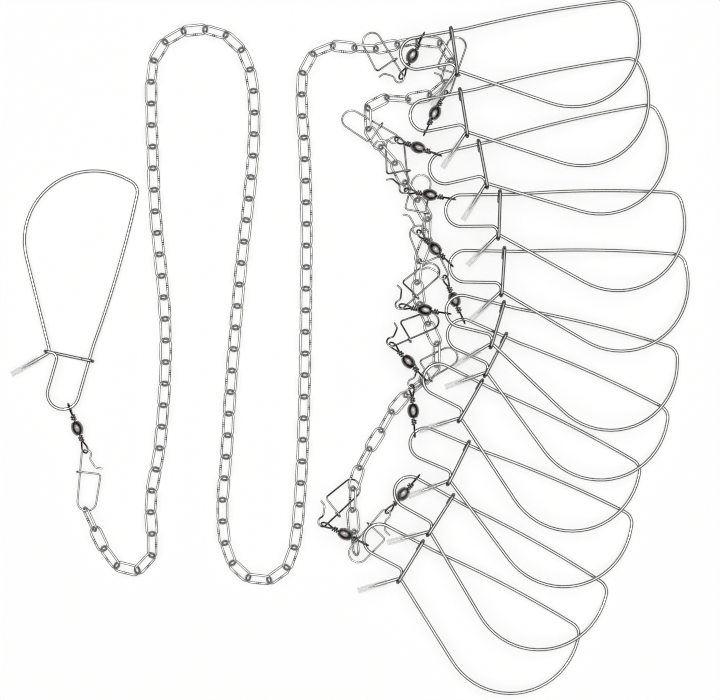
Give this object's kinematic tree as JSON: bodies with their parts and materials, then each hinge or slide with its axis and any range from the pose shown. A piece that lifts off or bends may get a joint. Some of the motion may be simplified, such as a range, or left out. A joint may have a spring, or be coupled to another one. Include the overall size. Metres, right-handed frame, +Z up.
{
  "type": "fish stringer",
  "caption": "Chain fish stringer laid out flat: welded link chain with locking wire clips on barrel swivels and hooked snaps, each clip point under a clear sleeve.",
  "frame": {"origin": "middle of the laid-out stringer's plan, on the table it lies on", "axes": "+Z up from the table, +X towards the fan of clips, +Y towards the first clip of the fan"},
  "size_m": [0.4342, 0.4444, 0.0253],
  "materials": {
    "chain_steel": "bright plated wire",
    "snap_steel": "bright spring wire",
    "clip_steel": "bright spring wire",
    "swivel_wire": "black nickel",
    "swivel_barrel": "glossy black nickel",
    "guard_plastic": "clear soft tube"
  },
  "bodies": {
    "heap": {"chain_heap": "chain_steel", "heap_clip_eyes": "swivel_wire", "heap_chain_eyes": "swivel_wire", "heap_snaps": "snap_steel"},
    "chain_run_left": {"chain_run_left": "chain_steel"},
    "chain_run_middle": {"chain_run_middle": "chain_steel"},
    "chain_run_right": {"chain_run_right": "chain_steel"},
    "clip_01_barrel": {"clip_01_barrel": "swivel_barrel"},
    "clip_01_frame": {"clip_01_frame": "clip_steel"},
    "clip_01_arm": {"clip_01_arm": "clip_steel"},
    "clip_01_guard": {"clip_01_guard": "guard_plastic"},
    "clip_02_barrel": {"clip_02_barrel": "swivel_barrel"},
    "clip_02_frame": {"clip_02_frame": "clip_steel"},
    "clip_02_arm": {"clip_02_arm": "clip_steel"},
    "clip_02_guard": {"clip_02_guard": "guard_plastic"},
    "clip_03_barrel": {"clip_03_barrel": "swivel_barrel"},
    "clip_03_frame": {"clip_03_frame": "clip_steel"},
    "clip_03_arm": {"clip_03_arm": "clip_steel"},
    "clip_03_guard": {"clip_03_guard": "guard_plastic"},
    "clip_04_barrel": {"clip_04_barrel": "swivel_barrel"},
    "clip_04_frame": {"clip_04_frame": "clip_steel"},
    "clip_04_arm": {"clip_04_arm": "clip_steel"},
    "clip_04_guard": {"clip_04_guard": "guard_plastic"},
    "clip_05_barrel": {"clip_05_barrel": "swivel_barrel"},
    "clip_05_frame": {"clip_05_frame": "clip_steel"},
    "clip_05_arm": {"clip_05_arm": "clip_steel"},
    "clip_05_guard": {"clip_05_guard": "guard_plastic"},
    "clip_06_barrel": {"clip_06_barrel": "swivel_barrel"},
    "clip_06_frame": {"clip_06_frame": "clip_steel"},
    "clip_06_arm": {"clip_06_arm": "clip_steel"},
    "clip_06_guard": {"clip_06_guard": "guard_plastic"},
    "clip_07_barrel": {"clip_07_barrel": "swivel_barrel"},
    "clip_07_frame": {"clip_07_frame": "clip_steel"},
    "clip_07_arm": {"clip_07_arm": "clip_steel"},
    "clip_07_guard": {"clip_07_guard": "guard_plastic"},
    "clip_08_barrel": {"clip_08_barrel": "swivel_barrel"},
    "clip_08_frame": {"clip_08_frame": "clip_steel"},
    "clip_08_arm": {"clip_08_arm": "clip_steel"},
    "clip_08_guard": {"clip_08_guard": "guard_plastic"},
    "clip_09_barrel": {"clip_09_barrel": "swivel_barrel"},
    "clip_09_frame": {"clip_09_frame": "clip_steel"},
    "clip_09_arm": {"clip_09_arm": "clip_steel"},
    "clip_09_guard": {"clip_09_guard": "guard_plastic"},
    "clip_10_barrel": {"clip_10_barrel": "swivel_barrel"},
    "clip_10_frame": {"clip_10_frame": "clip_steel"},
    "clip_10_arm": {"clip_10_arm": "clip_steel"},
    "clip_10_guard": {"clip_10_guard": "guard_plastic"},
    "clip_11_barrel": {"clip_11_barrel": "swivel_barrel"},
    "clip_11_frame": {"clip_11_frame": "clip_steel"},
    "clip_11_arm": {"clip_11_arm": "clip_steel"},
    "clip_11_guard": {"clip_11_guard": "guard_plastic"},
    "left_clip_eye": {"left_clip_eye": "swivel_wire"},
    "left_chain_eye": {"left_chain_eye": "swivel_wire"},
    "left_barrel": {"left_barrel": "swivel_barrel"},
    "left_snap": {"left_snap": "snap_steel"},
    "left_clip_frame": {"left_clip_frame": "clip_steel"},
    "left_clip_arm": {"left_clip_arm": "clip_steel"},
    "left_clip_guard": {"left_clip_guard": "guard_plastic"}
  },
  "joints": [
    {"name": "left_clip_squeeze", "type": "hinge", "parent": "left_clip_frame", "child": "left_clip_arm", "pos_m": [-0.14191, 0.10677, 0.00114], "axis": [0.0058, 0.0203, 0.9998], "range_deg": [0, 4], "stiffness_Nm_per_rad": 0.6},
    {"name": "left_clip_swing", "type": "hinge", "parent": "left_clip_eye", "child": "left_clip_frame", "pos_m": [-0.17897, -0.03909, 0.00405], "axis": [0, 0, 1], "range_deg": [-1, 25]},
    {"name": "left_swivel_turn", "type": "hinge", "parent": "left_barrel", "child": "left_clip_eye", "pos_m": [-0.17897, -0.03909, 0.00405], "axis": [0.3473, -0.9377, -0.0065], "continuous": true},
    {"name": "left_eye_swing", "type": "hinge", "parent": "left_snap", "child": "left_chain_eye", "pos_m": [-0.16835, -0.06778, 0.00385], "axis": [0, 0.0035, 1], "range_deg": [-1, 30]},
    {"name": "left_snap_swing", "type": "hinge", "parent": "chain_run_left", "child": "left_snap", "pos_m": [-0.16848, -0.10481, 0.00398], "axis": [0, 0, 1], "range_deg": [0, 30]},
    {"name": "left_run_fold", "type": "hinge", "parent": "chain_run_middle", "child": "chain_run_left", "pos_m": [-0.12546, 0.18292, 0.00316], "axis": [0, 0, 1], "range_deg": [-25, 6]},
    {"name": "middle_run_fold", "type": "hinge", "parent": "chain_run_right", "child": "chain_run_middle", "pos_m": [-0.08, -0.12537, 0.00316], "axis": [0, 0, 1], "range_deg": [-3.5, 25]},
    {"name": "right_run_fold", "type": "hinge", "parent": "heap", "child": "chain_run_right", "pos_m": [-0.02364, 0.18704, 0.00398], "axis": [0, 0, 1], "range_deg": [-25, 3]},
    {"name": "left_barrel_turn", "type": "hinge", "parent": "left_chain_eye", "child": "left_barrel", "pos_m": [-0.17416, -0.05208, 0.00396], "axis": [0.3473, -0.9377, -0.0065], "continuous": true},
    {"name": "left_clip_guard_slide", "type": "slide", "parent": "left_clip_arm", "child": "left_clip_guard", "axis": [-0.866, -0.4998, 0.0152], "range_m": [0, 0.022]},
    {"name": "clip_01_squeeze", "type": "hinge", "parent": "clip_01_frame", "child": "clip_01_arm", "pos_m": [0.18079, 0.21452, 0.00173], "axis": [-0.1014, -0.1315, -0.9861], "range_deg": [0, 4], "stiffness_Nm_per_rad": 0.6},
    {"name": "clip_02_squeeze", "type": "hinge", "parent": "clip_02_frame", "child": "clip_02_arm", "pos_m": [0.18632, 0.17775, 0.00173], "axis": [-0.0991, -0.1332, -0.9861], "range_deg": [0, 1], "stiffness_Nm_per_rad": 0.6},
    {"name": "clip_03_squeeze", "type": "hinge", "parent": "clip_03_frame", "child": "clip_03_arm", "pos_m": [0.19768, 0.1481, 0.00174], "axis": [-0.0935, -0.1353, -0.9864], "range_deg": [0, 3.5], "stiffness_Nm_per_rad": 0.6},
    {"name": "clip_04_squeeze", "type": "hinge", "parent": "clip_04_frame", "child": "clip_04_arm", "pos_m": [0.21242, 0.09057, 0.00175], "axis": [-0.1157, -0.1118, -0.987], "range_deg": [0, 4], "stiffness_Nm_per_rad": 0.6},
    {"name": "clip_05_squeeze", "type": "hinge", "parent": "clip_05_frame", "child": "clip_05_arm", "pos_m": [0.21499, 0.05089, 0.00176], "axis": [-0.1177, -0.1081, -0.9871], "range_deg": [0, 4], "stiffness_Nm_per_rad": 0.6},
    {"name": "clip_06_squeeze", "type": "hinge", "parent": "clip_06_frame", "child": "clip_06_arm", "pos_m": [0.20931, -0.00939, 0.00201], "axis": [-0.1402, -0.1089, -0.9841], "range_deg": [0, 4], "stiffness_Nm_per_rad": 0.6},
    {"name": "clip_07_squeeze", "type": "hinge", "parent": "clip_07_frame", "child": "clip_07_arm", "pos_m": [0.20275, -0.04881, 0.00189], "axis": [-0.1202, -0.0704, -0.9903], "range_deg": [0, 4], "stiffness_Nm_per_rad": 0.6},
    {"name": "clip_08_squeeze", "type": "hinge", "parent": "clip_08_frame", "child": "clip_08_arm", "pos_m": [0.18452, -0.08342, 0.00186], "axis": [-0.1232, -0.0607, -0.9905], "range_deg": [0, 4], "stiffness_Nm_per_rad": 0.6},
    {"name": "clip_09_squeeze", "type": "hinge", "parent": "clip_09_frame", "child": "clip_09_arm", "pos_m": [0.17974, -0.11624, 0.00187], "axis": [-0.1154, -0.0698, -0.9909], "range_deg": [0, 1.8], "stiffness_Nm_per_rad": 0.6},
    {"name": "clip_10_squeeze", "type": "hinge", "parent": "clip_10_frame", "child": "clip_10_arm", "pos_m": [0.16319, -0.16107, 0.00187], "axis": [-0.1198, -0.0583, -0.9911], "range_deg": [0, 4], "stiffness_Nm_per_rad": 0.6},
    {"name": "clip_11_squeeze", "type": "hinge", "parent": "clip_11_frame", "child": "clip_11_arm", "pos_m": [0.14557, -0.18799, 0.00149], "axis": [-0.0926, -0.0199, -0.9955], "range_deg": [0, 4], "stiffness_Nm_per_rad": 0.6},
    {"name": "clip_01_swing", "type": "hinge", "parent": "heap", "child": "clip_01_frame", "pos_m": [0.04591, 0.19653, 0.018], "axis": [0, 0, 1], "range_deg": [-5, 7]},
    {"name": "clip_02_swing", "type": "hinge", "parent": "heap", "child": "clip_02_frame", "pos_m": [0.04802, 0.13639, 0.01881], "axis": [0, 0, 1], "range_deg": [-1.5, 6]},
    {"name": "clip_03_swing", "type": "hinge", "parent": "heap", "child": "clip_03_frame", "pos_m": [0.05532, 0.12182, 0.01879], "axis": [0, 0, 1], "range_deg": [0, 1.5]},
    {"name": "clip_04_swing", "type": "hinge", "parent": "heap", "child": "clip_04_frame", "pos_m": [0.06405, 0.09372, 0.0185], "axis": [0, 0, 1], "range_deg": [-3, 0.8]},
    {"name": "clip_05_swing", "type": "hinge", "parent": "heap", "child": "clip_05_frame", "pos_m": [0.06328, 0.05282, 0.01863], "axis": [0, 0, 1], "range_deg": [-4, 5]},
    {"name": "clip_06_swing", "type": "hinge", "parent": "heap", "child": "clip_06_frame", "pos_m": [0.06109, 0.02114, 0.01747], "axis": [0, 0, 1], "range_deg": [-5, 3]},
    {"name": "clip_07_swing", "type": "hinge", "parent": "heap", "child": "clip_07_frame", "pos_m": [0.07189, 0.01735, 0.01296], "axis": [0, 0, 1], "range_deg": [-4, 6]},
    {"name": "clip_08_swing", "type": "hinge", "parent": "heap", "child": "clip_08_frame", "pos_m": [0.0467, -0.01942, 0.01349], "axis": [0, 0, 1], "range_deg": [-0.8, 0.8]},
    {"name": "clip_09_swing", "type": "hinge", "parent": "heap", "child": "clip_09_frame", "pos_m": [0.04115, -0.05457, 0.01291], "axis": [0, 0, 1], "range_deg": [-1.5, 0.8]},
    {"name": "clip_10_swing", "type": "hinge", "parent": "heap", "child": "clip_10_frame", "pos_m": [0.04256, -0.08357, 0.0114], "axis": [0, 0, 1], "range_deg": [-4, 1.5]},
    {"name": "clip_11_swing", "type": "hinge", "parent": "heap", "child": "clip_11_frame", "pos_m": [0.00916, -0.12515, 0.01091], "axis": [0, 0, 1], "range_deg": [-7, 3]},
    {"name": "clip_01_guard_slide", "type": "slide", "parent": "clip_01_arm", "child": "clip_01_guard", "axis": [-0.5594, -0.8121, 0.1658], "range_m": [0, 0.022]},
    {"name": "clip_02_guard_slide", "type": "slide", "parent": "clip_02_arm", "child": "clip_02_guard", "axis": [-0.5452, -0.8218, 0.1658], "range_m": [0, 0.022]},
    {"name": "clip_03_guard_slide", "type": "slide", "parent": "clip_03_arm", "child": "clip_03_guard", "axis": [-0.5238, -0.8358, 0.1643], "range_m": [0, 0.022]},
    {"name": "clip_04_guard_slide", "type": "slide", "parent": "clip_04_arm", "child": "clip_04_guard", "axis": [-0.6931, -0.7027, 0.1608], "range_m": [0, 0.007]},
    {"name": "clip_05_guard_slide", "type": "slide", "parent": "clip_05_arm", "child": "clip_05_guard", "axis": [-0.7151, -0.6805, 0.1598], "range_m": [0, 0.022]},
    {"name": "clip_06_guard_slide", "type": "slide", "parent": "clip_06_arm", "child": "clip_06_guard", "axis": [-0.8479, -0.5001, 0.1761], "range_m": [0, 0.022]},
    {"name": "clip_07_guard_slide", "type": "slide", "parent": "clip_07_arm", "child": "clip_07_guard", "axis": [-0.9298, -0.3415, 0.1371], "range_m": [0, 0.022]},
    {"name": "clip_08_guard_slide", "type": "slide", "parent": "clip_08_arm", "child": "clip_08_guard", "axis": [-0.9455, -0.2959, 0.1357], "range_m": [0, 0.001]},
    {"name": "clip_09_guard_slide", "type": "slide", "parent": "clip_09_arm", "child": "clip_09_guard", "axis": [-0.9262, -0.3529, 0.1327], "range_m": [0, 0.022]},
    {"name": "clip_10_guard_slide", "type": "slide", "parent": "clip_10_arm", "child": "clip_10_guard", "axis": [-0.9592, -0.2506, 0.1307], "range_m": [0, 0.022]},
    {"name": "clip_11_guard_slide", "type": "slide", "parent": "clip_11_arm", "child": "clip_11_guard", "axis": [-0.9563, -0.2768, 0.0945], "range_m": [0, 0.022]},
    {"name": "clip_01_barrel_turn", "type": "hinge", "parent": "heap", "child": "clip_01_barrel", "pos_m": [0.0396, 0.18461, 0.01483], "axis": [-0.4558, -0.8602, -0.2287], "continuous": true},
    {"name": "clip_02_barrel_turn", "type": "hinge", "parent": "heap", "child": "clip_02_barrel", "pos_m": [0.054, 0.14837, 0.01527], "axis": [0.4313, 0.8654, -0.2551], "continuous": true},
    {"name": "clip_03_barrel_turn", "type": "hinge", "parent": "heap", "child": "clip_03_barrel", "pos_m": [0.04324, 0.12652, 0.01391], "axis": [-0.8722, 0.339, -0.3526], "continuous": true},
    {"name": "clip_04_barrel_turn", "type": "hinge", "parent": "heap", "child": "clip_04_barrel", "pos_m": [0.05072, 0.09632, 0.01578], "axis": [-0.9624, 0.1878, -0.1961], "continuous": true},
    {"name": "clip_05_barrel_turn", "type": "hinge", "parent": "heap", "child": "clip_05_barrel", "pos_m": [0.05402, 0.06225, 0.0145], "axis": [-0.6686, 0.6811, -0.2985], "continuous": true},
    {"name": "clip_06_barrel_turn", "type": "hinge", "parent": "heap", "child": "clip_06_barrel", "pos_m": [0.0476, 0.02334, 0.01522], "axis": [-0.9739, 0.1586, -0.1625], "continuous": true},
    {"name": "clip_07_barrel_turn", "type": "hinge", "parent": "heap", "child": "clip_07_barrel", "pos_m": [0.06645, 0.02999, 0.0114], "axis": [-0.3928, 0.9126, -0.1132], "continuous": true},
    {"name": "clip_08_barrel_turn", "type": "hinge", "parent": "heap", "child": "clip_08_barrel", "pos_m": [0.03713, -0.00948, 0.01463], "axis": [-0.6908, 0.7184, 0.082], "continuous": true},
    {"name": "clip_09_barrel_turn", "type": "hinge", "parent": "heap", "child": "clip_09_barrel", "pos_m": [0.04026, -0.04075, 0.01272], "axis": [-0.0647, 0.9978, -0.0134], "continuous": true},
    {"name": "clip_10_barrel_turn", "type": "hinge", "parent": "heap", "child": "clip_10_barrel", "pos_m": [0.03376, -0.09387, 0.0085], "axis": [-0.6353, -0.7434, -0.2092], "continuous": true},
    {"name": "clip_11_barrel_turn", "type": "hinge", "parent": "heap", "child": "clip_11_barrel", "pos_m": [-0.00311, -0.11915, 0.01321], "axis": [-0.8857, 0.4333, 0.1664], "continuous": true}
  ]
}
